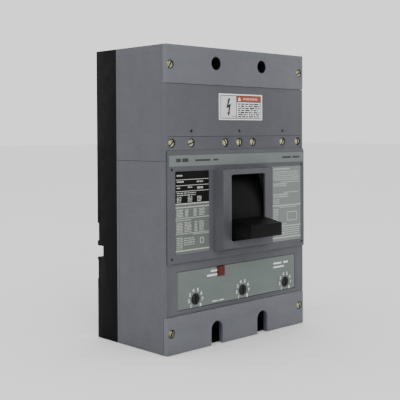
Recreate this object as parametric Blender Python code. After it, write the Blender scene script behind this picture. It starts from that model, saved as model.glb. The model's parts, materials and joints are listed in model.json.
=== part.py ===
"""Three-pole molded case breaker: housing, handle and mechanism, contacts, trip unit and terminals.

Drawn in millimetres: X to the right, Y to the rear from the front cover, Z up from the load end.
An empty moves the whole model so that the centre of the rear mounting face is the world origin.
"""

import math

import bmesh
import bpy

MM = 0.001

# Driving dimensions, in millimetres
WIDTH = 190.5
HEIGHT = 279.4
DEPTH = 101.6
POLE_PITCH = 63.5
COVER_DEPTH = 70.8
COVER_PROUD = 0.5
WALL = 4.0
UPPER_WALL = 2.9
GAP = 0.3

HALF = WIDTH / 2
POLES = {"a": -POLE_PITCH, "b": 0.0, "c": POLE_PITCH}
PARTITION_X = POLE_PITCH / 2
PARTITION_HALF = 2.0

# Heights of the joints between the front covers
LOAD_COVER_TOP = 34.3
SIDE_SEAM = 174.3
FRONT_SEAM = 196.6
LINE_COVER_BOTTOM = 244.3

# Mounting bolts, one pair near each end, between the poles
BOLT_Z_LINE = 264.9
BOLT_Z_LOAD = 14.7
BOLT_R = 3.75
BOLT_BOSS_R = 9.0
BOLT_SLEEVE_R = 6.1
BOLT_ACCESS_R = 5.5
LINE_SEAT_Y = 75.0
LOAD_SEAT_Y = 66.0
SLOT_HALF = 7.6
SLOT_STEP = 1.1
CHANNEL_WALL = 2.2
CHANNEL_FLOOR = 2.0
CHANNEL_FRONT = 6.5

# Cable windows through the end walls
CABLE_HALF = 17.0
CABLE_Y = (45.0, 88.0)

# Screws
SCREW_HEAD_R = 3.9
SCREW_SHANK_R = 1.9
STRIP_SCREW_Z = 190.5
STRIP_SCREW_X = (-87.6, -63.5, -19.3, 0.0, 19.3, 63.5, 87.6)
CORNER_SCREWS = ((-89.4, 261.2), (89.4, 261.2), (-89.3, 19.0), (89.3, 19.0))

SCREW_LENGTH = 13.0
SCREW_SLOT = (0.55, 0.9)

# Escutcheon with its raised bezel round the handle opening
PLATE_HALF = 94.4
PLATE_Z = (81.5, 183.7)
PLATE_FRONT = -2.5
BEZEL_FRONT = -12.0
BEZEL_LIP = 2.0
BEZEL_BASE = (36.2, 87.2, 165.9)
BEZEL_FACE = (34.5, 90.6, 165.2)
BEZEL_HOLLOW = (31.5, 92.8, 163.2)
HANDLE_OPENING = (23.5, 97.4, 160.3)
RIVETS = ((90.0, 166.6), (90.5, 86.4))

# Labels: ranges of X and Z
LABELS = {
    "nameplate_strip": ((-93.5, 93.5), (169.6, 179.7), "label_green"),
    "rating_label": ((-86.2, -44.3), (90.0, 165.0), "label_green"),
    "instruction_label": ((44.6, 88.6), (89.4, 165.4), "label_green"),
}
HAZARD_LABEL = ((-28.0, 32.5), (212.0, 237.0))

# Handle: pivot, and the curved apron and skirt that follow it behind the opening
PIVOT_Y = 70.0
PIVOT_Z = 120.0
APRON_R = 79.3
SKIRT_R = 72.0
SHELL = 2.5
APRON_HALF = 26.0
APRON_ARC = (-12.0, 38.0)
SKIRT_ARC = (-42.0, -5.0)

# Crossbar that carries the three contact arms
CROSSBAR_Y = 80.0
CROSSBAR_Z = 150.0
CROSSBAR_R = 8.0
CONTACT_SWING = 30.0
FIXED_CONTACT_Y = 86.3

# Toggle links between the cradle and the crossbar
CRADLE_PIVOT = (41.0, 157.0)
CRADLE_PIN = (50.0, 140.0)
LINK_LENGTH = 16.3
CRANK = 14.0
CRANK_ANGLE = 150.0
UPPER_LINK_ANGLE = 84.2
PIN_R = 2.0

# Straps, wire lugs and arc chutes
STRAP_HALF = 8.0
STRAP_Y = (90.0, 95.0)
LUG_HALF = 15.5
LUG_Y = (58.0, 89.7)
LUG_Z = {"line": (246.0, 272.0), "load": (8.0, 34.0)}
CABLE_BORE_R = 10.0
CHUTE_Y = (30.0, 84.0)
CHUTE_Z = (209.0, 242.0)
SPLITTERS = 8
SPLITTER_PITCH = 6.2
SPLITTER_THICKNESS = 1.6

# Trip unit
TRIP_WINDOW = (82.3, 38.4, 74.0)
TRIP_CASE_Z = (37.0, 62.0)
DIAL_X = (-59.3, 3.9, 67.1)
DIAL_Z = 46.5
DIAL_R = 4.95
BUTTON = (-26.5, 69.2)
BUTTON_HALF = (4.4, 4.7)
TRIP_BAR = (22.0, 80.0)

COLOURS = {
    "grey_case": ((0.19, 0.195, 0.21), 0.55, 0.0),
    "black_base": ((0.012, 0.012, 0.012), 0.5, 0.0),
    "label_green": ((0.24, 0.28, 0.26), 0.5, 0.0),
    "label_white": ((0.75, 0.75, 0.73), 0.45, 0.0),
    "handle_black": ((0.012, 0.012, 0.011), 0.4, 0.0),
    "button_red": ((0.28, 0.045, 0.025), 0.45, 0.0),
    "brass": ((0.55, 0.44, 0.2), 0.35, 1.0),
    "copper": ((0.6, 0.27, 0.14), 0.35, 1.0),
    "steel": ((0.42, 0.42, 0.42), 0.35, 1.0),
    "spring_steel": ((0.3, 0.3, 0.3), 0.3, 1.0),
    "aluminium": ((0.6, 0.6, 0.6), 0.4, 1.0),
    "fibre": ((0.32, 0.13, 0.08), 0.7, 0.0),
    "phenolic": ((0.05, 0.03, 0.025), 0.5, 0.0),
}


def clear_scene():
    for obj in list(bpy.data.objects):
        bpy.data.objects.remove(obj, do_unlink=True)


def material(name, finish):
    """A Principled material of its own for each piece, in one of the shared finishes."""
    colour, roughness, metallic = COLOURS[finish]
    made = bpy.data.materials.new(name)
    made.use_nodes = True
    shader = made.node_tree.nodes["Principled BSDF"]
    shader.inputs["Base Color"].default_value = (*colour, 1.0)
    shader.inputs["Roughness"].default_value = roughness
    shader.inputs["Metallic"].default_value = metallic
    made.diffuse_color = (*colour, 1.0)
    return made


def add_object(name, bm, origin, finish=None):
    """An object on the frame, its mesh given in millimetres and its own origin at the point given."""
    bmesh.ops.recalc_face_normals(bm, faces=bm.faces)
    for vert in bm.verts:
        vert.co = [(vert.co[i] - origin[i]) * MM for i in range(3)]
    mesh = bpy.data.meshes.new(name)
    bm.to_mesh(mesh)
    bm.free()
    obj = bpy.data.objects.new(name, mesh)
    bpy.context.scene.collection.objects.link(obj)
    obj.parent = FRAME
    obj.location = [value * MM for value in origin]
    if finish:
        mesh.materials.append(material(name, finish))
    else:
        obj.hide_render = True
        obj.display_type = "WIRE"
    return obj


def prism_mesh(outline, start, end, axis):
    """A closed prism: the outline's points in the plane across the axis, from start to end along it."""
    order = {"x": (2, 0, 1), "y": (0, 2, 1), "z": (0, 1, 2)}[axis]
    bm = bmesh.new()
    rings = []
    for level in (start, end):
        points = [(u, v, level) for u, v in outline]
        rings.append([bm.verts.new([point[i] for i in order]) for point in points])
    count = len(outline)
    for i in range(count):
        j = (i + 1) % count
        bm.faces.new((rings[0][i], rings[0][j], rings[1][j], rings[1][i]))
    bm.faces.new(rings[0])
    bm.faces.new(rings[1])
    return bm


def rectangle(low, high):
    return [(low[0], low[1]), (high[0], low[1]), (high[0], high[1]), (low[0], high[1])]


def chamfered(corners, along_u, along_v):
    """A rectangle's outline with its four corners cut off."""
    (u0, v0), (u1, _), (_, v1), _ = corners
    lower = [(u0, v0 + along_v), (u0 + along_u, v0), (u1 - along_u, v0), (u1, v0 + along_v)]
    upper = [(u1, v1 - along_v), (u1 - along_u, v1), (u0 + along_u, v1), (u0, v1 - along_v)]
    return lower + upper


def box_mesh(x, y, z):
    """A box from its three ranges."""
    return prism_mesh(rectangle((x[0], y[0]), (x[1], y[1])), z[0], z[1], "z")


def circle(centre, radius, sides=20):
    step = 2 * math.pi / sides
    return [
        (centre[0] + radius * math.cos((i + 0.5) * step), centre[1] + radius * math.sin((i + 0.5) * step))
        for i in range(sides)
    ]


def bar_outline(start, end, half):
    """A straight link's outline: round ends of the half width about two points."""
    angle = math.atan2(end[1] - start[1], end[0] - start[0])
    points = []
    for centre, turn in ((end, -math.pi / 2), (start, math.pi / 2)):
        for i in range(7):
            a = angle + turn + i * math.pi / 6
            points.append((centre[0] + half * math.cos(a), centre[1] + half * math.sin(a)))
    return points


def about_pivot(radius, degrees):
    """A point in the Y-Z plane at a radius from the handle's pivot; 0 degrees points to the front."""
    a = math.radians(degrees)
    return (PIVOT_Y - radius * math.cos(a), PIVOT_Z + radius * math.sin(a))


def turned(points, centre, degrees):
    """Points in the Y-Z plane, turned about a centre."""
    a = math.radians(degrees)
    cos, sin = math.cos(a), math.sin(a)
    moved = [(y - centre[0], z - centre[1]) for y, z in points]
    return [(centre[0] + y * cos - z * sin, centre[1] + y * sin + z * cos) for y, z in moved]


def arc_shell(radius, thickness, low, high, steps):
    """The outline of a curved wall about the handle's pivot."""
    outer = [about_pivot(radius, low + (high - low) * i / steps) for i in range(steps + 1)]
    inner = [about_pivot(radius - thickness, low + (high - low) * i / steps) for i in range(steps + 1)]
    return outer + inner[::-1]


def combine(obj, shapes, operation):
    """Joins the shapes to the object, or cuts them from it, one Boolean each."""
    for i, bm in enumerate(shapes):
        tool = add_object(f"{obj.name}_{operation.lower()}_{i}", bm, (0, 0, 0))
        modifier = obj.modifiers.new(tool.name, "BOOLEAN")
        modifier.operation = operation
        modifier.solver = "EXACT"
        modifier.object = tool


def join(obj, shapes):
    combine(obj, shapes, "UNION")


def cut(obj, shapes):
    combine(obj, shapes, "DIFFERENCE")


def smooth(obj, degrees=35):
    """Round pieces are shaded smooth, with their real edges left sharp."""
    obj.data.shade_smooth()
    obj.data.set_sharp_from_angle(angle=math.radians(degrees))


def both_sides(make):
    """The same shape on the left and on the right of the centre plane."""
    return [make(-1), make(1)]


def span(side, near, far):
    """A range of X between two distances from the centre plane, on one side of it."""
    return (near, far) if side > 0 else (-far, -near)


# Housing


def cable_windows(y, z):
    return [box_mesh((x - CABLE_HALF, x + CABLE_HALF), y, z) for x in POLES.values()]


def slot_outline(x, half, low):
    """A U open downwards, round at the top, about the load-side bolt's axis."""
    angles = [math.pi * i / 8 for i in range(9)]
    top = [(x + half * math.cos(a), BOLT_Z_LOAD + half * math.sin(a)) for a in angles]
    return [(x - half, low), (x + half, low)] + top


def base_housing():
    """The black base: floor, side walls, pole partitions, bolt bosses and channels, and rear side notches."""
    front = COVER_DEPTH + GAP
    floor = DEPTH - WALL
    inner = HALF - WALL
    block = box_mesh((-HALF, HALF), (front, DEPTH), (0, HEIGHT))
    obj = add_object("base_housing", block, (0, DEPTH, 0), "black_base")
    cut(obj, [box_mesh((-inner, inner), (front - 10, floor), (WALL, HEIGHT - WALL))])

    def tall_partition(side):
        x = side * PARTITION_X
        z = (84, HEIGHT - WALL - 0.5)
        return box_mesh((x - PARTITION_HALF, x + PARTITION_HALF), (5.5, floor + 1), z)

    def low_partition(side):
        x = side * PARTITION_X
        half = PARTITION_HALF - 0.1
        return box_mesh((x - half, x + half), (front + 0.5, floor + 1), (2, HEIGHT - 2))

    def line_boss(side):
        return prism_mesh(circle((side * PARTITION_X, BOLT_Z_LINE), BOLT_BOSS_R), 6, floor + 1, "y")

    def line_sleeve(side):
        return prism_mesh(circle((side * PARTITION_X, BOLT_Z_LINE), BOLT_SLEEVE_R), 0.2, 7, "y")

    def load_channel(side):
        outline = slot_outline(side * PARTITION_X, SLOT_HALF + CHANNEL_WALL, 0)
        return prism_mesh(outline, CHANNEL_FRONT, floor + 1, "y")

    def notch_block(side):
        return box_mesh(span(side, 82, inner + 1), (86, floor + 1), (72, 97))

    for shape in (tall_partition, low_partition, line_boss, line_sleeve, load_channel, notch_block):
        join(obj, both_sides(shape))

    def bolt_holes(side):
        x = side * PARTITION_X
        return [prism_mesh(circle((x, z), BOLT_R), 0, DEPTH + 1, "y") for z in (BOLT_Z_LINE, BOLT_Z_LOAD)]

    def bolt_access(side):
        return prism_mesh(circle((side * PARTITION_X, BOLT_Z_LINE), BOLT_ACCESS_R), 0, LINE_SEAT_Y, "y")

    def channel_bore(side):
        outline = slot_outline(side * PARTITION_X, SLOT_HALF, CHANNEL_FLOOR)
        return prism_mesh(outline, 0, LOAD_SEAT_Y, "y")

    def crossbar_gap(side):
        x = side * PARTITION_X
        y = (CROSSBAR_Y - 10, CROSSBAR_Y + 10)
        return box_mesh((x - 5, x + 5), y, (CROSSBAR_Z - 10, CROSSBAR_Z + 10))

    def rear_notches(side):
        x = span(side, 85, HALF + 1)
        steps = ((58.0, 76.0, 0.9), (79.0, 90.0, 8.8), (95.0, 112.0, 2.0))
        return [box_mesh(x, (DEPTH - depth, DEPTH + 1), (low, high)) for low, high, depth in steps]

    cut(obj, both_sides(crossbar_gap) + both_sides(bolt_access) + both_sides(channel_bore))
    for side in (-1, 1):
        cut(obj, bolt_holes(side) + rear_notches(side))
    window_y = (front - 5, CABLE_Y[1])
    cut(obj, cable_windows(window_y, (-1, WALL + 1)))
    cut(obj, cable_windows(window_y, (HEIGHT - WALL - 1, HEIGHT + 1)))


def upper_cover():
    """The grey line-side cover. Its side walls run down beside the screw strip."""
    inner = HALF - UPPER_WALL
    shell = box_mesh((-HALF, HALF), (0, COVER_DEPTH), (SIDE_SEAM, HEIGHT))
    obj = add_object("upper_cover", shell, (0, 0, FRONT_SEAM), "grey_case")
    cavity = box_mesh((-inner, inner), (WALL, 80), (170, HEIGHT - WALL))
    strip_space = box_mesh((-inner, inner), (-1, 10), (170, FRONT_SEAM))
    cover_space = box_mesh((-HALF - 1, HALF + 1), (-1, WALL + GAP), (LINE_COVER_BOTTOM, HEIGHT + 1))
    label_x, label_z = [(low - GAP, high + GAP) for low, high in HAZARD_LABEL]
    label_pocket = box_mesh(label_x, (-1, 0.6), label_z)
    vents = [prism_mesh(circle((x, 201.5), 1.5, 10), -1, 10, "y") for x in POLES.values()]
    windows = cable_windows((CABLE_Y[0], 80), (HEIGHT - WALL - 1, HEIGHT + 1))
    cut(obj, [cavity, strip_space, cover_space, label_pocket] + vents + windows)


def lower_cover():
    """The grey load-side cover, with the screw strip, the handle window and the trip unit's window."""
    inner = HALF - WALL
    strip_half = HALF - UPPER_WALL - GAP
    shell = box_mesh((-HALF, HALF), (0, COVER_DEPTH), (0, SIDE_SEAM - GAP))
    obj = add_object("lower_cover", shell, (0, 0, SIDE_SEAM), "grey_case")
    cut(obj, [box_mesh((-inner, inner), (WALL, 80), (WALL, 180))])
    join(obj, [box_mesh((-strip_half, strip_half), (0, WALL), (170, FRONT_SEAM - GAP))])
    cut(obj, [box_mesh((-HALF - 1, HALF + 1), (-1, WALL + GAP), (-1, LOAD_COVER_TOP))])
    bosses = [prism_mesh(circle((x, STRIP_SCREW_Z), 3.6, 10), 3, 15, "y") for x in STRIP_SCREW_X[1:-1]]
    ribs = both_sides(lambda side: box_mesh(span(side, 17.5, 20), (4.6, 40), (1, 36.4)))
    rib_tops = both_sides(lambda side: box_mesh(span(side, 17.5, 20), (2, 5.7), (35, 38)))
    join(obj, bosses + ribs + rib_tops)
    half, low, high = TRIP_WINDOW
    cut(obj, [box_mesh((-half, half), (-1, 10), (low, high)), box_mesh((-30, 30), (-1, 10), (86, 169))])
    for x in STRIP_SCREW_X:
        cut(obj, screw_seat(x, STRIP_SCREW_Z, 0))
    cut(obj, cable_windows((CABLE_Y[0], 80), (-1, WALL + 1)))
    channel = SLOT_HALF + CHANNEL_WALL + GAP
    for side in (-1, 1):
        x = side * PARTITION_X
        cut(obj, [box_mesh((x - channel, x + channel), (-1, 80), (-1, WALL + 1))])


def terminal_cover(name, z, seats):
    """A front plate over one row of terminals, a little prouder than the covers between."""
    plate = box_mesh((-HALF, HALF), (-COVER_PROUD, WALL), z)
    obj = add_object(name, plate, (0, 0, z[0]), "grey_case")
    for x, seat_z in seats:
        cut(obj, screw_seat(x, seat_z, -COVER_PROUD))
    return obj


def line_terminal_cover():
    z = (LINE_COVER_BOTTOM + GAP, HEIGHT)
    obj = terminal_cover("line_terminal_cover", z, CORNER_SCREWS[:2])
    for side in (-1, 1):
        hole = circle((side * PARTITION_X, BOLT_Z_LINE), BOLT_SLEEVE_R + GAP)
        cut(obj, [prism_mesh(hole, -2, 10, "y")])


def load_terminal_cover():
    """The load-side plate, with an open slot and a collar in front of each bolt channel."""
    z = (0, LOAD_COVER_TOP - GAP)
    obj = terminal_cover("load_terminal_cover", z, CORNER_SCREWS[2:])
    collar_end = CHANNEL_FRONT - GAP
    for side in (-1, 1):
        x = side * PARTITION_X
        join(obj, [prism_mesh(slot_outline(x, SLOT_HALF + CHANNEL_WALL, 0), 2, collar_end, "y")])
    for side in (-1, 1):
        x = side * PARTITION_X
        cut(obj, [prism_mesh(slot_outline(x, SLOT_HALF, -1), -2, 8, "y")])
        cut(obj, [prism_mesh(slot_outline(x, SLOT_HALF + SLOT_STEP, -1), 3.6, 8, "y")])


def screw_seat(x, z, face):
    """A counterbore and a clearance hole for one cover screw."""
    head = prism_mesh(circle((x, z), SCREW_HEAD_R + 0.4, 16), face - 1, face + 1.8, "y")
    shank = prism_mesh(circle((x, z), SCREW_SHANK_R + 0.35, 10), face - 1, 30, "y")
    return [head, shank]


def escutcheon_plate():
    """The centre plate with its hollow raised bezel, label pockets and four small rivet holes."""
    low, high = PLATE_Z
    back = -GAP
    profile = [(back, low), (back, high), (-1.2, high), (PLATE_FRONT, high - 3.2)]
    profile += [(PLATE_FRONT, low + 0.8), (-1.7, low)]
    plate = prism_mesh(profile, -PLATE_HALF, PLATE_HALF, "x")
    obj = add_object("escutcheon_plate", plate, (0, 0, low), "grey_case")
    bezel = bmesh.new()
    base, face, hollow_face, opening_face = [
        rectangle((-half, bottom), (half, top))
        for half, bottom, top in (BEZEL_BASE, BEZEL_FACE, BEZEL_HOLLOW, HANDLE_OPENING)
    ]
    levels = ((base, -1.0), (base, PLATE_FRONT), (face, BEZEL_FRONT))
    rings = [[bezel.verts.new((x, y, z)) for x, z in outline] for outline, y in levels]
    for lower, upper in zip(rings, rings[1:]):
        for i in range(4):
            j = (i + 1) % 4
            bezel.faces.new((lower[i], lower[j], upper[j], upper[i]))
    bezel.faces.new(rings[0])
    bezel.faces.new(rings[-1])
    join(obj, [bezel])
    hollow = prism_mesh(hollow_face, BEZEL_FRONT + BEZEL_LIP, 5, "y")
    opening = prism_mesh(chamfered(opening_face, 1.8, 1.0), BEZEL_FRONT - 1, 5, "y")
    pockets = [label_box(name, 0.1, (-5, -1.9)) for name in LABELS]
    rivets = [(side * x, z) for side in (-1, 1) for x, z in RIVETS]
    holes = [prism_mesh(circle(point, 1.25, 10), -5, 5, "y") for point in rivets]
    cut(obj, [hollow, opening] + pockets + holes)


def label_box(name, margin, y):
    x, z, _ = LABELS[name]
    return box_mesh((x[0] - margin, x[1] + margin), y, (z[0] - margin, z[1] + margin))


def labels():
    for name, (x, z, finish) in LABELS.items():
        add_object(name, label_box(name, 0, (-2.65, -2.2)), (x[0], -2.2, z[0]), finish)
    x, z = HAZARD_LABEL
    add_object("hazard_label", box_mesh(x, (-0.15, 0.3), z), (0, 0.3, z[0]), "label_white")


def screw(name, x, z, face, slot_angle):
    """A slotted cheese-head screw, its head just under the face and its shank to the rear."""
    head = prism_mesh(circle((x, z), SCREW_HEAD_R, 16), face + 0.1, face + 1.5, "y")
    obj = add_object(name, head, (x, face, z), "brass")
    join(obj, [prism_mesh(circle((x, z), SCREW_SHANK_R, 8), face + 1, face + SCREW_LENGTH, "y")])
    slot_half, slot_depth = SCREW_SLOT
    along = rectangle((-SCREW_HEAD_R - 1, -slot_half), (SCREW_HEAD_R + 1, slot_half))
    slot = [(x + u, z + v) for u, v in turned(along, (0, 0), slot_angle)]
    cut(obj, [prism_mesh(slot, face - 1, face + slot_depth, "y")])


def screws():
    for i, (x, z) in enumerate(CORNER_SCREWS):
        screw(f"terminal_cover_screw_{i + 1}", x, z, -COVER_PROUD, (60, 25, 70, 110)[i])
    for i, x in enumerate(STRIP_SCREW_X):
        screw(f"cover_screw_{i + 1}", x, STRIP_SCREW_Z, 0, (40, 20, 120, 95, 75, 65, 100)[i])


# Handle and operating mechanism


def handle():
    """The black lever with its curved apron above and its smaller skirt below."""
    root = [(-35, 101.7), (-35, 113.8), (-12, 117.5), (-4, 118.6), (-1.5, 106), (-4, 97.6), (-12, 98.2)]
    lever = bmesh.new()
    rings = []
    for side in (-1, 1):
        ring = [lever.verts.new((side * (21.5 if y < -30 else 22.6), y, z)) for y, z in root]
        rings.append(ring)
    for i in range(len(root)):
        j = (i + 1) % len(root)
        lever.faces.new((rings[0][i], rings[0][j], rings[1][j], rings[1][i]))
    lever.faces.new(rings[0])
    lever.faces.new(rings[1])
    apron = prism_mesh(arc_shell(APRON_R, SHELL, *APRON_ARC, 16), -APRON_HALF, APRON_HALF, "x")
    obj = add_object("handle", apron, (0, PIVOT_Y, PIVOT_Z), "handle_black")
    skirt = prism_mesh(arc_shell(SKIRT_R, SHELL, *SKIRT_ARC, 12), -APRON_HALF + 1, APRON_HALF - 1, "x")
    web = prism_mesh(arc_shell(APRON_R - 0.6, APRON_R - SKIRT_R + 1, -11.5, -8.5, 2), -24, 24, "x")
    post = prism_mesh(arc_shell(APRON_R - 2, APRON_R - 2 - 66.3, -13, -4, 2), -12, 12, "x")
    join(obj, [skirt, web, post, lever])
    smooth(obj)


def handle_yoke():
    """The steel yoke: two arms on the pivot pins, and the bridge that carries the handle."""
    bridge = arc_shell(66, 2.5, -15, -2, 3)
    obj = add_object("handle_yoke", prism_mesh(bridge, -24, 24, "x"), (0, PIVOT_Y, PIVOT_Z), "steel")
    arm = bar_outline(about_pivot(62, -8.5), (PIVOT_Y, PIVOT_Z), 6.0)
    arm = [(max(y, about_pivot(65.4, -8.5)[0]), z) for y, z in arm]
    join(obj, both_sides(lambda side: prism_mesh(arm, *span(side, 22, 24), "x")))
    pivot = circle((PIVOT_Y, PIVOT_Z), 3.0, 12)
    join(obj, both_sides(lambda side: prism_mesh(pivot, *span(side, 23, 29.2), "x")))


def mechanism_frames():
    """The two steel side plates that carry every pivot of the mechanism."""
    outline = [(32, 112), (32, 152), (37, 166), (90, 166), (97.2, 158), (97.2, 104), (60, 104)]
    holes = (((PIVOT_Y, PIVOT_Z), 3.35), ((CROSSBAR_Y, CROSSBAR_Z), CROSSBAR_R + 1), (CRADLE_PIVOT, 2.85))
    for name, side in (("mechanism_frame_left", -1), ("mechanism_frame_right", 1)):
        x = span(side, 25.3, 27.3)
        obj = add_object(name, prism_mesh(outline, *x, "x"), (x[0], 97.2, 104), "steel")
        cut(obj, [prism_mesh(circle(centre, r, 16), *span(side, 20, 30), "x") for centre, r in holes])


def cradle():
    """The latched cradle, with its pivot shaft across the frames. The toggle links hang from it."""
    shaft = prism_mesh(circle(CRADLE_PIVOT, 2.5, 12), -28.5, 28.5, "x")
    obj = add_object("cradle", shaft, (0, *CRADLE_PIVOT), "steel")
    upper = bar_outline(CRADLE_PIVOT, CRADLE_PIN, 5.0)
    lower = bar_outline(CRADLE_PIN, (54, 96), 4.0)
    for outline, inset in ((upper, 0.0), (lower, 0.1)):
        join(obj, both_sides(lambda side: prism_mesh(outline, *span(side, 12 + inset, 13.5 - inset), "x")))
    join(obj, [prism_mesh(bar_outline((54, 94), (54, 98), 3.0), -13, 13, "x")])
    cut(obj, [prism_mesh(circle(CRADLE_PIN, PIN_R + 0.35, 12), -20, 20, "x")])


def reach(point, length, degrees):
    """A point in the Y-Z plane at a length and an angle from another."""
    a = math.radians(degrees)
    return (point[0] + length * math.cos(a), point[1] + length * math.sin(a))


def toggle_links():
    """Upper link on the cradle, lower link on the crossbar, met at the toggle pin with play."""
    knee = reach(CRADLE_PIN, LINK_LENGTH, UPPER_LINK_ANGLE)
    crank = reach((CROSSBAR_Y, CROSSBAR_Z), CRANK, CRANK_ANGLE)
    pin = prism_mesh(circle(CRADLE_PIN, PIN_R, 12), -13.8, 13.8, "x")
    upper = add_object("upper_link", pin, (0, *CRADLE_PIN), "steel")
    plate = bar_outline(CRADLE_PIN, knee, 5.6)
    join(upper, both_sides(lambda side: prism_mesh(plate, *span(side, 9.5, 11.5), "x")))
    cut(upper, [prism_mesh(circle(knee, PIN_R + 1.9, 16), -20, 20, "x")])
    toggle = prism_mesh(circle(knee, PIN_R, 12), -20, 20, "x")
    lower = add_object("lower_link", toggle, (0, *crank), "steel")
    plate = bar_outline(knee, crank, 4.4)
    join(lower, both_sides(lambda side: prism_mesh(plate, *span(side, 6.2, 8.2), "x")))
    cut(lower, [prism_mesh(circle(crank, PIN_R + 0.35, 12), *span(side, 6, 9), "x") for side in (-1, 1)])


def mechanism_springs():
    """Tension springs from the yoke's bridge to the toggle pin, drawn as their outer tubes."""
    knee = reach(CRADLE_PIN, LINK_LENGTH, UPPER_LINK_ANGLE)
    top = about_pivot(62.6, -8.5)
    length = math.dist(knee, top)
    start = [k + (t - k) * (PIN_R + 0.4) / length for k, t in zip(knee, top)]
    for name, x in (("mechanism_spring_left", -16.8), ("mechanism_spring_right", 16.8)):
        rod = prism_mesh(circle((0, 0), 2.5, 12), 0, length - PIN_R - 1.6, "z")
        direction = (0, (top[0] - knee[0]) / length, (top[1] - knee[1]) / length)
        obj = add_object(name, rod, (0, 0, 0), "spring_steel")
        obj.rotation_euler = (-math.atan2(direction[1], direction[2]), 0, 0)
        obj.location = (x * MM, start[0] * MM, start[1] * MM)
        smooth(obj)


def crossbar():
    """The insulating bar through all three poles, with a crank on each side of the centre arm."""
    centre = (CROSSBAR_Y, CROSSBAR_Z)
    crank = reach(centre, CRANK, CRANK_ANGLE)
    bar = prism_mesh(circle(centre, CROSSBAR_R, 20), -88, 88, "x")
    obj = add_object("crossbar", bar, (0, *centre), "phenolic")
    lug = bar_outline(crank, centre, 4.4)
    join(obj, both_sides(lambda side: prism_mesh(lug, *span(side, 4.5, 5.8), "x")))
    join(obj, both_sides(lambda side: prism_mesh(circle(crank, PIN_R, 12), *span(side, 5, 8.6), "x")))
    smooth(obj)


def contact_arms():
    """Moving contact arms, drawn open: turned forward about the crossbar from the closed place."""
    foot = CROSSBAR_Z + CROSSBAR_R + GAP
    tip = FIXED_CONTACT_Y - GAP
    closed = [(76, foot), (84, foot), (84, 196), (tip, 196), (tip, 206), (77, 206), (76, 200)]
    outline = turned(closed, (CROSSBAR_Y, CROSSBAR_Z), CONTACT_SWING)
    for pole, x in POLES.items():
        mesh = prism_mesh(outline, x - 4, x + 4, "x")
        add_object(f"contact_arm_{pole}", mesh, (x, CROSSBAR_Y, CROSSBAR_Z), "copper")


def line_straps():
    """Copper straps from the line lugs to the fixed contacts."""
    for pole, x in POLES.items():
        strap = box_mesh((x - STRAP_HALF, x + STRAP_HALF), STRAP_Y, (195, 272))
        obj = add_object(f"line_strap_{pole}", strap, (x, STRAP_Y[1], 195), "copper")
        join(obj, [box_mesh((x - 5, x + 5), (FIXED_CONTACT_Y, STRAP_Y[0] + 1), (195.5, 207))])


def load_straps():
    """Copper straps from the load lugs, each with the bimetal that its current heats."""
    for pole, x in POLES.items():
        strap = box_mesh((x - STRAP_HALF, x + STRAP_HALF), STRAP_Y, (6, 112))
        obj = add_object(f"load_strap_{pole}", strap, (x, STRAP_Y[1], 6), "copper")
        foot = box_mesh((x - 5, x + 5), (70.5, STRAP_Y[0] + 1), (38, 42))
        bimetal = box_mesh((x - 4.5, x + 4.5), (70.8, 72.4), (40, 84))
        join(obj, [foot, bimetal])


def flexible_braids():
    """Braids from the load straps to the contact arms, past the rear of the crossbar."""
    path = [(88.0, 98), (88.3, 108), (90.6, 122), (91.4, 140)]
    path += [(91.0, 152), (88.0, 161), (83.0, 166.5), (78.3, 168.3)]
    for pole, x in POLES.items():
        outline = path + [(y - 1.9, z - 0.4) for y, z in path[::-1]]
        mesh = prism_mesh(outline, x - 5, x + 5, "x")
        add_object(f"flexible_braid_{pole}", mesh, (x, 88, 98), "copper")


def arc_chutes():
    """Fibre side walls holding a stack of steel splitter plates over each contact's path."""
    half = 18.6
    low, high = CHUTE_Z[0] + 2, CHUTE_Z[1] - 2
    notched = [(-half, high), (-half, low), (-7, low), (0, low + 13), (7, low), (half, low), (half, high)]
    for pole, x in POLES.items():
        wall = box_mesh((x - 20, x - 18), CHUTE_Y, CHUTE_Z)
        obj = add_object(f"arc_chute_{pole}", wall, (x, 57, CHUTE_Z[0]), "fibre")
        join(obj, [box_mesh((x + 18, x + 20), CHUTE_Y, CHUTE_Z)])
        for i in range(SPLITTERS):
            y = CHUTE_Y[0] + 4 + SPLITTER_PITCH * i
            outline = [(x + u, z) for u, z in notched]
            join(obj, [prism_mesh(outline, y, y + SPLITTER_THICKNESS, "y")])


def lugs():
    """Aluminium wire lugs on the straps, each bored for its cable along Z, with a set screw in front."""
    for pole, x in POLES.items():
        for row, z in LUG_Z.items():
            block = box_mesh((x - LUG_HALF, x + LUG_HALF), LUG_Y, z)
            obj = add_object(f"{row}_lug_{pole}", block, (x, 73, z[0]), "aluminium")
            middle = sum(z) / 2
            join(obj, [prism_mesh(circle((x, middle), 5.5, 12), 52, 60, "y")])
            cut(obj, [prism_mesh(circle((x, 73.5), CABLE_BORE_R, 16), z[0] - 1, z[1] + 1, "z")])
            cut(obj, [box_mesh((x - 4, x + 4), (51, 54), (middle - 0.8, middle + 0.8))])


# Trip unit


def trip_unit_plate():
    half, low, high = TRIP_WINDOW
    gap = 1.5 * GAP
    plate = box_mesh((-half + gap, half - gap), (0.1, 3), (low + gap, high - gap))
    obj = add_object("trip_unit_plate", plate, (0, 3, low), "label_green")
    x, z = BUTTON
    half_x, half_z = BUTTON_HALF
    window_x = (x - half_x - GAP, x + half_x + GAP)
    window = box_mesh(window_x, (-1, 5), (z - half_z - GAP, z + half_z + GAP))
    dial_holes = [prism_mesh(circle((d, DIAL_Z), DIAL_R + GAP, 20), -1, 5, "y") for d in DIAL_X]
    cut(obj, [window] + dial_holes)


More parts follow.
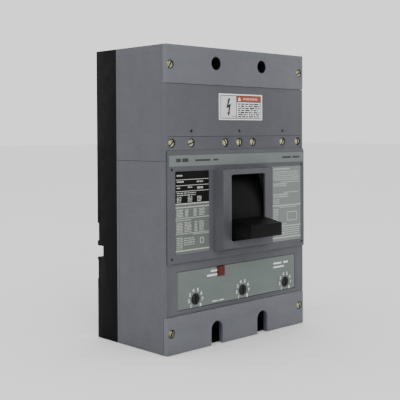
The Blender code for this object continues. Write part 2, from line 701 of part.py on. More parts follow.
def trip_unit_case():
    """The trip unit's case, open to the rear for the bimetals, with a seat for the button's spring."""
    low, high = TRIP_CASE_Z
    obj = add_object("trip_unit_case", box_mesh((-88, 88), (6, 68), (low, high)), (0, 68, low), "phenolic")
    cut(obj, [box_mesh((-85, 85), (9, 70), (low + 3, high - 3))])
    join(obj, [box_mesh((-26.5, -22.5), (12.3, 14), (high - 1, 71))])
    cut(obj, [prism_mesh(circle((x, DIAL_Z), 2.4, 10), 0, 12, "y") for x in DIAL_X])


def dials():
    """The three magnetic pick-up dials, each on a short shaft into the trip unit."""
    for place, x in zip(("left", "centre", "right"), DIAL_X):
        knob = prism_mesh(circle((x, DIAL_Z), DIAL_R, 20), -0.5, 4.6, "y")
        obj = add_object(f"adjustment_dial_{place}", knob, (x, 0, DIAL_Z), "handle_black")
        join(obj, [prism_mesh(circle((x, DIAL_Z), 2.0, 8), 4, 13, "y")])
        cut(obj, [box_mesh((x - 0.7, x + 0.7), (-2, 0.9), (DIAL_Z - 3.9, DIAL_Z + 3.9))])


def trip_button():
    """The red push-to-trip button, its tail beside the handle's skirt, and its return spring."""
    x, z = BUTTON
    half_x, half_z = BUTTON_HALF
    head = box_mesh((x - half_x, x + half_x), (-1.2, 6), (z - half_z, z + half_z - 0.6))
    obj = add_object("push_to_trip_button", head, (x, -1.2, z), "button_red")
    join(obj, [box_mesh((-30.6, -27.6), (5, 11.5), (z - 1.8, z + 0.4))])
    spring = prism_mesh(circle((-24.5, 68.5), 1.7, 10), 6.3, 12.0, "y")
    smooth(add_object("trip_button_spring", spring, (-24.5, 12, 68.5), "spring_steel"))


def trip_bar():
    """The common trip bar, with the button's arm and one finger in front of each bimetal."""
    y, z = TRIP_BAR
    obj = add_object("trip_bar", prism_mesh(circle((y, z), 3.0, 12), -84, 84, "x"), (0, y, z), "phenolic")
    arm = box_mesh((-30.8, -27.4), (12, y), (z - 2, z + 1.5))
    tab = box_mesh((-30.7, -27.5), (12.1, 14.5), (z - 13, z))
    join(obj, [arm, tab])
    for x in POLES.values():
        join(obj, [box_mesh((x - 3, x + 3), (y, 66), (z - 1.5, z + 1.5))])


clear_scene()
FRAME = bpy.data.objects.new("frame", None)
bpy.context.scene.collection.objects.link(FRAME)
FRAME.location = (0, -DEPTH * MM, -HEIGHT / 2 * MM)

base_housing()
upper_cover()
lower_cover()
line_terminal_cover()
load_terminal_cover()
escutcheon_plate()
labels()
screws()
handle()
handle_yoke()
mechanism_frames()
cradle()
toggle_links()
mechanism_springs()
crossbar()
contact_arms()
line_straps()
load_straps()
flexible_braids()
arc_chutes()
lugs()
trip_unit_plate()
trip_unit_case()
dials()
trip_button()
trip_bar()
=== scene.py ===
"""The looks of the molded case breaker: finishes for the solids, and printed and turned detail."""

import json
import math
import random

import bmesh
import bpy
from mathutils import Matrix, Vector


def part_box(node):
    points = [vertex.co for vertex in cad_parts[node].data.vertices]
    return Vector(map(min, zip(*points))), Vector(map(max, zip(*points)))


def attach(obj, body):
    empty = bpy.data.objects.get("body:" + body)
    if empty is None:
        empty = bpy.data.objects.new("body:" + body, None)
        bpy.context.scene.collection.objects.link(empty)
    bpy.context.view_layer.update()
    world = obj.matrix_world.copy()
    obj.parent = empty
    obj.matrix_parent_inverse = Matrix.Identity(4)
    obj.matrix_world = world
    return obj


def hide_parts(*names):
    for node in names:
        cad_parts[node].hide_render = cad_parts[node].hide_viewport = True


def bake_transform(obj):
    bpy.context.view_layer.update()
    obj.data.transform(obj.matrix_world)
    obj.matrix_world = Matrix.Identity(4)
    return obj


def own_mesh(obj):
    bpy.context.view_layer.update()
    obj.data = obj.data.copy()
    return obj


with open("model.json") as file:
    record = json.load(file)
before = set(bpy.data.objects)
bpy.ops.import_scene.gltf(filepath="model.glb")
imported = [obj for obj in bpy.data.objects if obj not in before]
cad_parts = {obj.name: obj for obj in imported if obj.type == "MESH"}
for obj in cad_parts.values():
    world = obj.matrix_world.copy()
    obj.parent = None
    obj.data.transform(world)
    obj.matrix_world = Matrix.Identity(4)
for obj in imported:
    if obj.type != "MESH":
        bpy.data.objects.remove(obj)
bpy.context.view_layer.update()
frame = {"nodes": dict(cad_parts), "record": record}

MM = 0.001
NODES = frame["nodes"]

# The covers' front and rear planes, the two ends and half the width, read from the frame
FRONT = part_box("lower_cover")[0].y
COVER_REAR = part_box("lower_cover")[1].y
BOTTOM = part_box("base_housing")[0].z
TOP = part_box("base_housing")[1].z
HALF_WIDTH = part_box("base_housing")[1].x

# Points closer than this are one
MERGE_DISTANCE = 0.01 * MM


# Materials


class Shader:
    """A Principled material built up from a few procedural patterns in object space."""

    def __init__(self, name, colour, roughness, metallic=0.0, specular=0.5):
        self.material = bpy.data.materials.new(name)
        self.material.use_nodes = True
        self.tree = self.material.node_tree
        self.shader = self.tree.nodes["Principled BSDF"]
        self.colour = colour
        self.shader.inputs["Base Color"].default_value = (*colour, 1)
        self.shader.inputs["Roughness"].default_value = roughness
        self.shader.inputs["Metallic"].default_value = metallic
        self.shader.inputs["Specular IOR Level"].default_value = specular
        self.place = self.node("ShaderNodeTexCoord").outputs["Object"]
        self.base = None
        self.normal = None

    def node(self, kind, **inputs):
        """A new shader node, with its inputs fed by name."""
        made = self.tree.nodes.new(kind)
        for name, value in inputs.items():
            self.feed(made.inputs[name.replace("_", " ")], value)
        return made

    def feed(self, socket, value):
        """Links a socket to another's output, or sets its plain value."""
        if isinstance(value, bpy.types.NodeSocket):
            self.tree.links.new(value, socket)
        else:
            socket.default_value = value

    def noise(self, scale, detail=3.0, roughness=0.55, stretch=None):
        """A noise pattern over the object, drawn out along the axes where the stretch is below 1."""
        place = self.place
        if stretch:
            place = self.node("ShaderNodeMapping", Vector=place, Scale=stretch).outputs["Vector"]
        made = self.node("ShaderNodeTexNoise", Vector=place, Scale=scale, Detail=detail)
        made.inputs["Roughness"].default_value = roughness
        return made.outputs["Fac"]

    def fade(self, value, low, high, out_low=0.0, out_high=1.0):
        """The value, spread from its low and high onto a new range."""
        made = self.node("ShaderNodeMapRange", Value=value)
        made.inputs["From Min"].default_value = low
        made.inputs["From Max"].default_value = high
        made.inputs["To Min"].default_value = out_low
        made.inputs["To Max"].default_value = out_high
        return made.outputs["Result"]

    def tint(self, amount, colour):
        """Mixes a second colour over the base by a pattern."""
        mix = self.node("ShaderNodeMix")
        mix.data_type = "RGBA"
        self.feed(mix.inputs[0], amount)
        self.feed(mix.inputs[6], self.base if self.base else (*self.colour, 1))
        self.feed(mix.inputs[7], (*colour, 1))
        self.base = mix.outputs[2]
        self.tree.links.new(self.base, self.shader.inputs["Base Color"])
        return self

    def shade(self, pattern, spread):
        """Lighter and darker patches of the base colour."""
        dark = tuple(c * (1 - spread) for c in self.colour)
        light = tuple(min(c * (1 + spread), 1) for c in self.colour)
        self.tint(self.fade(pattern, 0.3, 0.5, 1, 0), dark)
        return self.tint(self.fade(pattern, 0.5, 0.72), light)

    def rough(self, pattern, low, high):
        """Varies the roughness between two values by a pattern."""
        self.tree.links.new(self.fade(pattern, 0.3, 0.7, low, high), self.shader.inputs["Roughness"])
        return self

    def bump(self, pattern, height, strength=1.0):
        """Adds a relief, its height in metres, on top of any earlier one."""
        bump = self.node("ShaderNodeBump", Height=pattern, Distance=height, Strength=strength)
        if self.normal:
            self.tree.links.new(self.normal, bump.inputs["Normal"])
        self.normal = bump.outputs["Normal"]
        self.tree.links.new(self.normal, self.shader.inputs["Normal"])
        return self


GREY = (0.0655, 0.068, 0.079)
BLACK = (0.0024, 0.0024, 0.0025)


def grey_moulding(name, level=1.0, centre_shade=0.0):
    """Moulded grey polyester: a fine texture, faint flow marks and a few pale scuffs.

    Painted shade darkens the middle of the front and leaves the sides as they are.
    """
    colour = tuple(level * c for c in GREY)
    made = Shader(name, colour, 0.55, specular=0.3)
    made.shade(made.noise(26, 5, 0.6), 0.12)
    made.shade(made.noise(420, 4, 0.65), 0.1)
    made.shade(made.noise(1500, 2), 0.1)
    flow = made.noise(9, 3, 0.5, (1, 1, 0.25))
    made.tint(made.fade(flow, 0.55, 0.8, 0, 0.3), tuple(1.15 * c for c in colour))
    # Painted shade: the colour darkens towards the middle of the front and fades out towards the sides
    if centre_shade:
        across = made.node("ShaderNodeSeparateXYZ", Vector=made.place).outputs["X"]
        distance = made.node("ShaderNodeMath")
        distance.operation = "ABSOLUTE"
        made.feed(distance.inputs[0], across)
        shade_patch = made.fade(distance.outputs[0], 0.02, 0.085, centre_shade, 0)
        made.tint(shade_patch, tuple(0.62 * c for c in colour))
    scuffs = made.noise(180, 5, 0.7, (1, 1, 0.12))
    made.tint(made.fade(scuffs, 0.68, 0.78, 0, 0.45), tuple(1.7 * c for c in colour))
    made.rough(made.noise(70, 4), 0.46, 0.64)
    made.bump(made.noise(2600, 2), 0.00005, 0.5)
    made.bump(made.noise(60, 3), 0.00012, 0.25)
    return made.material


def grey_edge_wear_and_highlight(name, level=1.0):
    """The same moulding, paler on its rounded edges: partly rubbed wear, partly a painted highlight."""
    colour = tuple(1.32 * level * c for c in GREY)
    made = Shader(name, colour, 0.5, specular=0.3)
    made.shade(made.noise(220, 4, 0.65), 0.2)
    made.rough(made.noise(200, 3), 0.4, 0.6)
    made.bump(made.noise(1800, 2), 0.00005, 0.5)
    return made.material


def black_moulding(name, colour=BLACK, rough=(0.45, 0.6), specular=0.06):
    """Glass-filled thermoset, black unless told, slightly mottled, with pale specks of filler."""
    made = Shader(name, colour, 0.5, specular=specular)
    made.shade(made.noise(35, 5, 0.6), 0.22)
    made.tint(made.fade(made.noise(900, 2), 0.62, 0.8, 0, 0.4), tuple(2.2 * c for c in colour))
    made.rough(made.noise(90, 4), *rough)
    made.bump(made.noise(1900, 3), 0.00006, 0.5)
    return made.material


def printed_film(name, colour, rough=(0.4, 0.55), specular=0.3):
    """A printed polyester label: even ink with a soft sheen and faint ripples."""
    made = Shader(name, colour, 0.45, specular=specular)
    made.shade(made.noise(40, 3), 0.06)
    made.shade(made.noise(700, 2), 0.05)
    made.rough(made.noise(55, 3), *rough)
    made.bump(made.noise(120, 2), 0.00008, 0.2)
    return made.material


def ink(name, colour):
    """Screen-printed ink, thinner in places."""
    made = Shader(name, colour, 0.5, specular=0.3)
    made.shade(made.noise(900, 3), 0.1)
    made.rough(made.noise(300, 2), 0.42, 0.6)
    return made.material


def metal(name, colour, rough, grain, stain, stretch=(1, 1, 1)):
    """A plated or drawn metal: fine directional grain with dull stains."""
    made = Shader(name, colour, 0.3, 1.0)
    made.shade(made.noise(grain, 3, 0.6, stretch), 0.16)
    made.tint(made.fade(made.noise(130, 5, 0.65), 0.5, 0.7, 0, 0.75), stain)
    made.rough(made.noise(grain, 3, 0.6, stretch), *rough)
    made.bump(made.noise(grain, 2, 0.5, stretch), 0.00003, 0.4)
    return made.material


def fibre(name):
    """Red-brown vulcanised fibre with darker soot patches."""
    made = Shader(name, (0.2, 0.075, 0.045), 0.75, specular=0.3)
    made.shade(made.noise(200, 4, 0.6, (1, 1, 0.2)), 0.2)
    made.tint(made.fade(made.noise(60, 5), 0.55, 0.75, 0, 0.7), (0.035, 0.02, 0.016))
    made.bump(made.noise(1200, 3), 0.00006, 0.6)
    return made.material


# Mesh helpers


def finish(obj, material, body="housing", replaces=()):
    """Gives a new piece its material, hides the parts it replaces and, if it has a body, hangs it under
    that body's empty.
    """
    obj.data.materials.clear()
    obj.data.materials.append(material)
    if replaces:
        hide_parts(*replaces)
    if body:
        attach(obj, body)
    return obj


def mesh_object(name, bm):
    """A new object with the mesh, linked into the scene."""
    mesh = bpy.data.meshes.new(name)
    bm.to_mesh(mesh)
    bm.free()
    obj = bpy.data.objects.new(name, mesh)
    bpy.context.scene.collection.objects.link(obj)
    return obj


def box_into(bm, low, high):
    """Adds a box between two corners."""
    size = [b - a for a, b in zip(low, high)]
    middle = [(a + b) / 2 for a, b in zip(low, high)]
    made = bmesh.ops.create_cube(bm, size=1.0)["verts"]
    bmesh.ops.scale(bm, vec=size, verts=made)
    bmesh.ops.translate(bm, vec=middle, verts=made)
    return made


def modifiers_baked(obj):
    """Replaces an object's mesh by what its modifiers make of it."""
    bpy.context.view_layer.update()
    shape = obj.evaluated_get(bpy.context.evaluated_depsgraph_get())
    mesh = bpy.data.meshes.new_from_object(shape)
    obj.modifiers.clear()
    obj.data = mesh
    return obj


def curve_mesh(curve):
    """What a curve or a text fills, as a mesh. The curve is removed."""
    holder = bpy.data.objects.new(curve.name, curve)
    bpy.context.scene.collection.objects.link(holder)
    bpy.context.view_layer.update()
    mesh = bpy.data.meshes.new_from_object(holder.evaluated_get(bpy.context.evaluated_depsgraph_get()))
    bpy.data.objects.remove(holder)
    bpy.data.curves.remove(curve)
    return mesh


def hidden_cutter(name, bm):
    """A body that only cuts others and is never seen."""
    cutter = mesh_object(name, bm)
    cutter.hide_render = True
    cutter.hide_viewport = True
    cutter.display_type = "WIRE"
    return cutter


def carve(obj, cutter):
    """Takes the cutter's shape out of a body, as a modifier."""
    modifier = obj.modifiers.new("carve", "BOOLEAN")
    modifier.operation = "DIFFERENCE"
    modifier.solver = "EXACT"
    modifier.object = cutter


def cut_boxes(obj, boxes, sharp_angle):
    """Cuts boxes, each between two corners, out of a turned body and shades its round faces smooth."""
    bm = bmesh.new()
    for low, high in boxes:
        box_into(bm, low, high)
    knife = hidden_cutter(obj.name + "_knife", bm)
    knife.hide_viewport = False
    carve(obj, knife)
    modifiers_baked(obj)
    bpy.data.objects.remove(knife)
    obj.data.shade_smooth()
    obj.data.set_sharp_from_angle(angle=math.radians(sharp_angle))


def turned_mesh(profile, segments):
    """A body turned about Y: the profile's (radius, depth) points in millimetres, depth to the rear."""
    bm = bmesh.new()
    verts = [bm.verts.new((r * MM, y * MM, 0)) for r, y in profile]
    edges = [bm.edges.new(pair) for pair in zip(verts, verts[1:])]
    axis = {"cent": (0, 0, 0), "axis": (0, 1, 0), "angle": 2 * math.pi}
    bmesh.ops.spin(bm, geom=verts + edges, steps=segments, use_merge=True, **axis)
    bmesh.ops.remove_doubles(bm, verts=bm.verts, dist=MERGE_DISTANCE / 10)
    bmesh.ops.recalc_face_normals(bm, faces=bm.faces)
    return bm


def soften(obj, width, segments=2, angle=32, edge=None):
    """Rounds a node's real edges: faces in one plane are merged first, so that only edges are left.

    The rounded edges take the edge material, if there is one.
    """
    weld = obj.modifiers.new("weld", "WELD")
    weld.merge_threshold = MERGE_DISTANCE
    merge = obj.modifiers.new("merge_faces", "DECIMATE")
    merge.decimate_type = "DISSOLVE"
    merge.angle_limit = math.radians(0.6)
    bevel = obj.modifiers.new("soften", "BEVEL")
    bevel.width = width
    bevel.segments = segments
    bevel.limit_method = "ANGLE"
    bevel.angle_limit = math.radians(angle)
    bevel.use_clamp_overlap = True
    bevel.harden_normals = True
    if edge:
        obj.data.materials.append(edge)
        bevel.material = len(obj.data.materials) - 1
    obj.data.shade_smooth()


def paint(name, material):
    """A CAD node keeps its solid and gets a material."""
    data = NODES[name].data
    data.materials.clear()
    data.materials.append(material)


# Housing


# The panel sunk in each side wall, and how far a cutter goes past what it cuts
RECESS_DEPTH = 0.2 * MM
RECESS_FRONT = FRONT + 7 * MM
RECESS_REAR = COVER_REAR - 3 * MM
RECESS_TOP = TOP - 7.4 * MM
RECESS_BOTTOM = BOTTOM + 9 * MM
OVERCUT = 5 * MM


def side_recess_cutter(name, z_low, z_high):
    """The shallow panels sunk in both side walls."""
    bm = bmesh.new()
    for side in (-1, 1):
        x_low, x_high = sorted((side * (HALF_WIDTH - RECESS_DEPTH), side * (HALF_WIDTH + OVERCUT)))
        box_into(bm, (x_low, RECESS_FRONT, z_low), (x_high, RECESS_REAR, z_high))
    return hidden_cutter(name, bm)


def ejector_marks(name, points, y, radius=1.7 * MM, depth=0.35 * MM):
    """Small round moulding marks sunk in a front face."""
    bm = bmesh.new()
    for x, z in points:
        turn = Matrix.Translation((x, y, z)) @ Matrix.Rotation(math.pi / 2, 4, "X")
        bmesh.ops.create_cone(
            bm, cap_ends=True, segments=20, radius1=radius, radius2=radius, depth=2 * depth, matrix=turn
        )
    return hidden_cutter(name, bm)


POCKET_DEPTH = 1.4 * MM
POCKET_OVERCUT = 2 * MM

# The rear pockets' ranges across and, from the load end, upwards, in millimetres
POCKET_COLUMNS = ((-80, -38), (-25, 25), (38, 80))
POCKET_ROWS = ((46, 122), (134, 206), (218, 246))


def rear_pockets():
    """Shallow moulded pockets between ribs on the rear face."""
    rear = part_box("base_housing")[1].y
    bm = bmesh.new()
    for x0, x1 in POCKET_COLUMNS:
        for z0, z1 in POCKET_ROWS:
            low = (x0 * MM, rear - POCKET_DEPTH, BOTTOM + z0 * MM)
            box_into(bm, low, (x1 * MM, rear + POCKET_OVERCUT, BOTTOM + z1 * MM))
    return hidden_cutter("rear_pocket_cutter", bm)


# How light each cover is beside the grey of the sides, and how much painted shade darkens its middle
COVER_TONES = {
    "upper_cover": (0.99, 0.5),
    "lower_cover": (0.99, 0.6),
    "line_terminal_cover": (1.42, 0.25),
    "load_terminal_cover": (1.4, 0.0),
    "escutcheon_plate": (0.83, 0.1),
}

# How wide the covers' rounded edges are in millimetres, where they aren't as usual
EDGE_WIDTH = 0.45
COVER_EDGES = {"line_terminal_cover": 0.7, "load_terminal_cover": 0.4, "escutcheon_plate": 0.3}

# The moulding marks' places: in from the sides, and up from the line-side cover's lower edge
MARK_INSET = 7 * MM
MARK_HEIGHTS = (6.1 * MM, 28.6 * MM)


def housing():
    """The covers and the base: sunk panels, pockets and marks, grey and black moulding, edges paler from
    rubbed wear and painted highlight.
    """
    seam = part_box("upper_cover")[0].z
    carve(NODES["upper_cover"], side_recess_cutter("upper_side_cutter", seam - OVERCUT, RECESS_TOP))
    carve(NODES["lower_cover"], side_recess_cutter("lower_side_cutter", RECESS_BOTTOM, seam + OVERCUT))
    carve(NODES["base_housing"], rear_pockets())
    cover_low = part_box("line_terminal_cover")[0]
    x = HALF_WIDTH - MARK_INSET
    marks = [(side * x, cover_low.z + height) for side in (-1, 1) for height in MARK_HEIGHTS]
    carve(NODES["line_terminal_cover"], ejector_marks("line_mark_cutter", marks, cover_low.y))
    for name, (level, centre_shade) in COVER_TONES.items():
        paint(name, grey_moulding(name + "_grey", level, centre_shade))
        width = COVER_EDGES.get(name, EDGE_WIDTH) * MM
        soften(NODES[name], width, 3, edge=grey_edge_wear_and_highlight(name + "_edge", level))
    paint("base_housing", black_moulding("base_black"))
    # The base's rounded edges are paler: partly rubbed wear, partly painted highlight
    worn_and_highlit_edge = black_moulding("base_black_edge", tuple(2.5 * c for c in BLACK))
    soften(NODES["base_housing"], 0.6 * MM, edge=worn_and_highlit_edge)


# Labels


# The step between a label's face and each of its printed layers
PRINT_LIFT = 0.03 * MM


class Sheet:
    """Ink on a label. Places are fractions of its width from the left and of its height from the top."""

    def __init__(self, node, seed=0):
        self.low, self.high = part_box(node)
        self.width = self.high.x - self.low.x
        self.height = self.high.z - self.low.z
        self.random = random.Random(seed)
        self.outlines = []

    def point(self, across, down):
        """A place on the sheet as X and Z."""
        return self.low.x + across * self.width, self.high.z - down * self.height

    def area(self, left, right, top, bottom):
        """A filled rectangle."""
        corners = ((left, bottom), (right, bottom), (right, top), (left, top))
        self.outlines.append([self.point(*corner) for corner in corners])

    def rule(self, left, right, middle, thickness):
        """A ruled line, its thickness in millimetres."""
        half = thickness * MM / self.height / 2
        self.area(left, right, middle - half, middle + half)

    def row(self, left, right, middle, size):
        """A row of short bars, in place of words."""
        at = left
        while at < right - 0.015:
            length = self.random.uniform(0.03, 0.11)
            self.rule(at, min(at + length, right), middle, size * self.random.uniform(0.85, 1.15))
            at += length + self.random.uniform(0.012, 0.022)

    def block(self, left, right, top, bottom, rows, size):
        """Rows of bars that fill a rectangle."""
        for i in range(rows):
            self.row(left, right, top + (bottom - top) * (i + 0.5) / rows, size)

    def frame(self, left, right, top, bottom, thickness):
        """A rectangle's outline."""
        self.rule(left, right, top, thickness)
        self.rule(left, right, bottom, thickness)
        half = thickness * MM / self.width / 2
        for x in (left, right):
            self.area(x - half, x + half, top, bottom)

    def print(self, name, material, lift):
        """Makes the outlines one flat piece that stands off the label's front."""
        bm = bmesh.new()
        for outline in self.outlines:
            bm.faces.new([bm.verts.new((x, self.low.y - lift, z)) for x, z in outline])
        finish(mesh_object(name, bm), material)


def rating_label():
    """Left label: a black panel with ruled rows over a green table."""
    paint("rating_label", printed_film("rating_green", (0.076, 0.09, 0.078)))
    black = Sheet("rating_label")
    black.area(0.0, 1.0, 0.0, 0.385)
    panel = printed_film("rating_black", (0.003, 0.003, 0.0034), (0.4, 0.5), 0.06)
    black.print("rating_label_panel", panel, PRINT_LIFT)
    sheet = Sheet("rating_label", 7)
    for middle in (0.1, 0.17, 0.24):
        sheet.rule(0.01, 0.99, middle, 0.55)
    sheet.row(0.04, 0.2, 0.05, 1.5)
    sheet.row(0.04, 0.24, 0.125, 1.3)
    sheet.row(0.63, 0.84, 0.13, 1.3)
    sheet.row(0.04, 0.15, 0.2, 1.2)
    sheet.row(0.36, 0.5, 0.195, 1.2)
    sheet.row(0.64, 0.82, 0.205, 1.8)
    sheet.block(0.04, 0.6, 0.25, 0.3, 2, 0.8)
    for left in (0.04, 0.36, 0.64):
        sheet.block(left, left + 0.13, 0.305, 0.375, 4, 0.8)
    sheet.rule(0, 1, 0.392, 1.1)
    sheet.rule(0, 1, 0.435, 0.9)
    for left, right in ((0.03, 0.22), (0.28, 0.38), (0.53, 0.62), (0.7, 0.86)):
        sheet.block(left, right, 0.455, 0.55, 5, 0.75)
    sheet.rule(0, 1, 0.565, 0.6)
    sheet.rule(0.0, 0.46, 0.59, 0.55)
    for left, right in ((0.03, 0.2), (0.26, 0.46), (0.56, 0.64), (0.7, 0.84)):
        sheet.block(left, right, 0.61, 0.74, 7, 0.7)
    sheet.rule(0, 1, 0.752, 0.55)
    sheet.rule(0.5, 1, 0.77, 0.5)
    sheet.block(0.03, 0.2, 0.79, 0.94, 7, 0.7)
    sheet.block(0.24, 0.56, 0.8, 0.9, 4, 0.7)
    sheet.frame(0.73, 0.83, 0.825, 0.885, 0.9)
    sheet.rule(0, 1, 0.957, 1.1)
    white = ink("white_ink", (0.3, 0.315, 0.285))
    sheet.print("rating_label_print", white, 2 * PRINT_LIFT)


def instruction_label():
    """Right label: lighter, with ruled rows of short bars."""
    paint("instruction_label", printed_film("instruction_green", (0.13, 0.15, 0.142)))
    sheet = Sheet("instruction_label", 11)
    sheet.block(0.04, 0.62, 0.02, 0.05, 1, 1.3)
    sheet.block(0.04, 0.95, 0.06, 0.19, 5, 0.75)
    sheet.rule(0.3, 0.95, 0.21, 0.6)
    sheet.block(0.04, 0.5, 0.22, 0.27, 2, 0.9)
    sheet.rule(0.4, 0.95, 0.35, 0.5)
    sheet.block(0.04, 0.55, 0.36, 0.42, 2, 1.1)
    sheet.block(0.04, 0.24, 0.43, 0.5, 3, 0.7)
    sheet.rule(0, 1, 0.523, 1.0)
    sheet.rule(0.25, 0.85, 0.548, 0.5)
    sheet.block(0.04, 0.2, 0.56, 0.73, 8, 0.7)
    sheet.frame(0.52, 0.86, 0.62, 0.73, 0.7)
    sheet.block(0.3, 0.5, 0.76, 0.79, 1, 0.8)
    sheet.rule(0, 1, 0.802, 1.0)
    sheet.block(0.04, 0.95, 0.82, 0.93, 4, 0.8)
    sheet.rule(0, 1, 0.952, 1.1)
    pale = ink("pale_ink", (0.34, 0.37, 0.345))
    sheet.print("instruction_label_print", pale, 2 * PRINT_LIFT)


def nameplate():
    """The strip under the screws: left blank but for plain dark dashes where marks stood."""
    paint("nameplate_strip", printed_film("strip_green", (0.102, 0.119, 0.115)))
    sheet = Sheet("nameplate_strip", 23)
    for left, right in ((0.045, 0.075), (0.085, 0.125)):
        sheet.area(left, right, 0.3, 0.62)
    sheet.row(0.17, 0.33, 0.5, 1.5)
    sheet.row(0.82, 0.965, 0.5, 2.0)
    sheet.print("nameplate_print", ink("dark_ink", (0.012, 0.016, 0.015)), PRINT_LIFT)


# A generic lightning bolt in the hazard plate's left cell, as places on its sheet
BOLT = ((0.205, 0.17), (0.158, 0.56), (0.215, 0.52), (0.2, 0.72), (0.175, 0.7), (0.21, 0.87))
BOLT += ((0.255, 0.66), (0.232, 0.7), (0.27, 0.36), (0.21, 0.42), (0.255, 0.17))

# The plain triangle in the red band: its middle on the sheet, and its half width, foot and tip
SIGN_PLACE = (0.46, 0.19)
SIGN_HALF_WIDTH = 2.3 * MM
SIGN_FOOT = 1.8 * MM
SIGN_TIP = 2.1 * MM


def hazard_label():
    """A generic white hazard plate: thin black frame, a bolt sign, a red band and rows of bars."""
    paint("hazard_label", printed_film("hazard_white", (0.62, 0.63, 0.62)))
    dark = ink("hazard_black", (0.006, 0.006, 0.007))
    lines = Sheet("hazard_label", 31)
    lines.frame(0.035, 0.965, 0.065, 0.935, 0.7)
    lines.rule(0.4, 0.965, 0.3, 0.6)
    lines.area(0.388, 0.404, 0.065, 0.935)
    lines.row(0.3, 0.37, 0.86, 0.9)
    lines.block(0.43, 0.94, 0.34, 0.91, 7, 1.25)
    lines.print("hazard_label_lines", dark, 2 * PRINT_LIFT)
    cell = Sheet("hazard_label")
    cell.area(0.04, 0.388, 0.08, 0.92)
    cell_film = printed_film("hazard_cell", (0.47, 0.49, 0.475))
    cell.print("hazard_label_cell", cell_film, PRINT_LIFT)
    band = Sheet("hazard_label")
    band.area(0.404, 0.96, 0.08, 0.29)
    band.print("hazard_label_band", ink("hazard_red", (0.25, 0.035, 0.012)), PRINT_LIFT)
    words = Sheet("hazard_label", 3)
    words.row(0.55, 0.88, 0.185, 1.9)
    band_ink = ink("band_ink", (0.5, 0.28, 0.22))
    words.print("hazard_label_band_bars", band_ink, 2 * PRINT_LIFT)
    bolt = Sheet("hazard_label")
    bolt.outlines.append([bolt.point(*place) for place in BOLT])
    bolt.print("hazard_label_bolt", dark, 2 * PRINT_LIFT)
    sign = Sheet("hazard_label")
    x, z = sign.point(*SIGN_PLACE)
    foot = z - SIGN_FOOT
    sign.outlines.append([(x - SIGN_HALF_WIDTH, foot), (x + SIGN_HALF_WIDTH, foot), (x, z + SIGN_TIP)])
    sign_ink = ink("sign_ink", (0.6, 0.58, 0.55))
    sign.print("hazard_label_triangle", sign_ink, 2 * PRINT_LIFT)


# Trip unit


def digit_mesh(character, size):
    """A digit's filled outline, lying in the X-Z plane about its own centre."""
    curve = bpy.data.curves.new("digit", "FONT")
    curve.body = character
    curve.size = size
    curve.offset = 0.03 * size
    curve.align_x = "CENTER"
    curve.align_y = "CENTER"
    mesh = curve_mesh(curve)
    mesh.transform(Matrix.Rotation(math.pi / 2, 4, "X"))
    return mesh


# The scale round a dial, from the lower left to the lower right
SCALE_DIGITS = "12345678"
SCALE_START = math.radians(225)
SCALE_SWEEP = math.radians(270)
SCALE_RADIUS = 8.6 * MM
DIGIT_SIZE = 4.3 * MM


def dial_scale(centre, face, bm):
    """Digits round a dial, all upright."""
    for i, character in enumerate(SCALE_DIGITS):
        angle = SCALE_START - SCALE_SWEEP * i / (len(SCALE_DIGITS) - 1)
        out = Vector((math.cos(angle), 0, math.sin(angle)))
        digit = digit_mesh(character, DIGIT_SIZE)
        digit.transform(Matrix.Translation(Vector((centre.x, face, centre.z)) + out * SCALE_RADIUS))
        bm.from_mesh(digit)
        bpy.data.meshes.remove(digit)


DIALS = {
    "adjustment_dial_left": "dial_left",
    "adjustment_dial_centre": "dial_centre",
    "adjustment_dial_right": "dial_right",
}

# A knob's stem and the thickness of its disc, in millimetres
STEM_R = 1.9
STEM_END = 13.0
DISC_THICK = 4.6


def dial(node, body):
    """A black knob with a rounded rim, a driver slot and a pointer notch, in place of the plain disc."""
    low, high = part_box(node)
    centre = (low + high) / 2
    radius = (high.x - low.x) / 2 / MM + 0.15
    stem = [(0, STEM_END), (STEM_R, STEM_END), (STEM_R, DISC_THICK), (radius, DISC_THICK)]
    rim = [(radius, 0.6), (radius - 0.5, 0.1), (radius - 0.9, 0)]
    dished_face = [(3.3, 0), (3.0, 0.3), (0, 0.3)]
    obj = mesh_object(node + "_knob", turned_mesh(stem + rim + dished_face, 40))
    slot = ((-0.7 * MM, -MM, -3.2 * MM), (0.7 * MM, 1.3 * MM, 3.2 * MM))
    pointer = ((-0.35 * MM, -MM, 3.5 * MM), (0.35 * MM, 0.6 * MM, 6 * MM))
    cut_boxes(obj, (slot, pointer), 30)
    obj.data.transform(Matrix.Translation((centre.x, low.y, centre.z)))
    black = black_moulding(node + "_black", (0.004, 0.004, 0.004), (0.35, 0.5), 0.2)
    finish(obj, black, body, (node,))


def trip_unit():
    """The front plate with its printed scales and bars, the dials' knobs and the red button."""
    paint("trip_unit_plate", printed_film("trip_plate_green", (0.094, 0.116, 0.108)))
    soften(NODES["trip_unit_plate"], 0.25 * MM)
    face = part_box("trip_unit_plate")[0].y - PRINT_LIFT
    bm = bmesh.new()
    for node, body in DIALS.items():
        knob_low, knob_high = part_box(node)
        dial_scale((knob_low + knob_high) / 2, face, bm)
        dial(node, body)
    finish(mesh_object("trip_unit_scales", bm), ink("scale_ink", (0.6, 0.62, 0.6)))
    sheet = Sheet("trip_unit_plate", 41)
    sheet.row(0.258, 0.31, 0.1, 1.7)
    sheet.row(0.228, 0.31, 0.215, 1.7)
    sheet.row(0.8, 0.935, 0.19, 1.7)
    sheet.row(0.8, 0.9, 0.3, 1.6)
    sheet.row(0.27, 0.36, 0.93, 0.8)
    sheet.print("trip_unit_print", ink("plate_ink", (0.62, 0.63, 0.61)), PRINT_LIFT)
    red = black_moulding("button_red", (0.075, 0.0095, 0.003), (0.4, 0.55), 0.15)
    paint("push_to_trip_button", red)
    soften(NODES["push_to_trip_button"], 0.7 * MM, 3)


# Screws


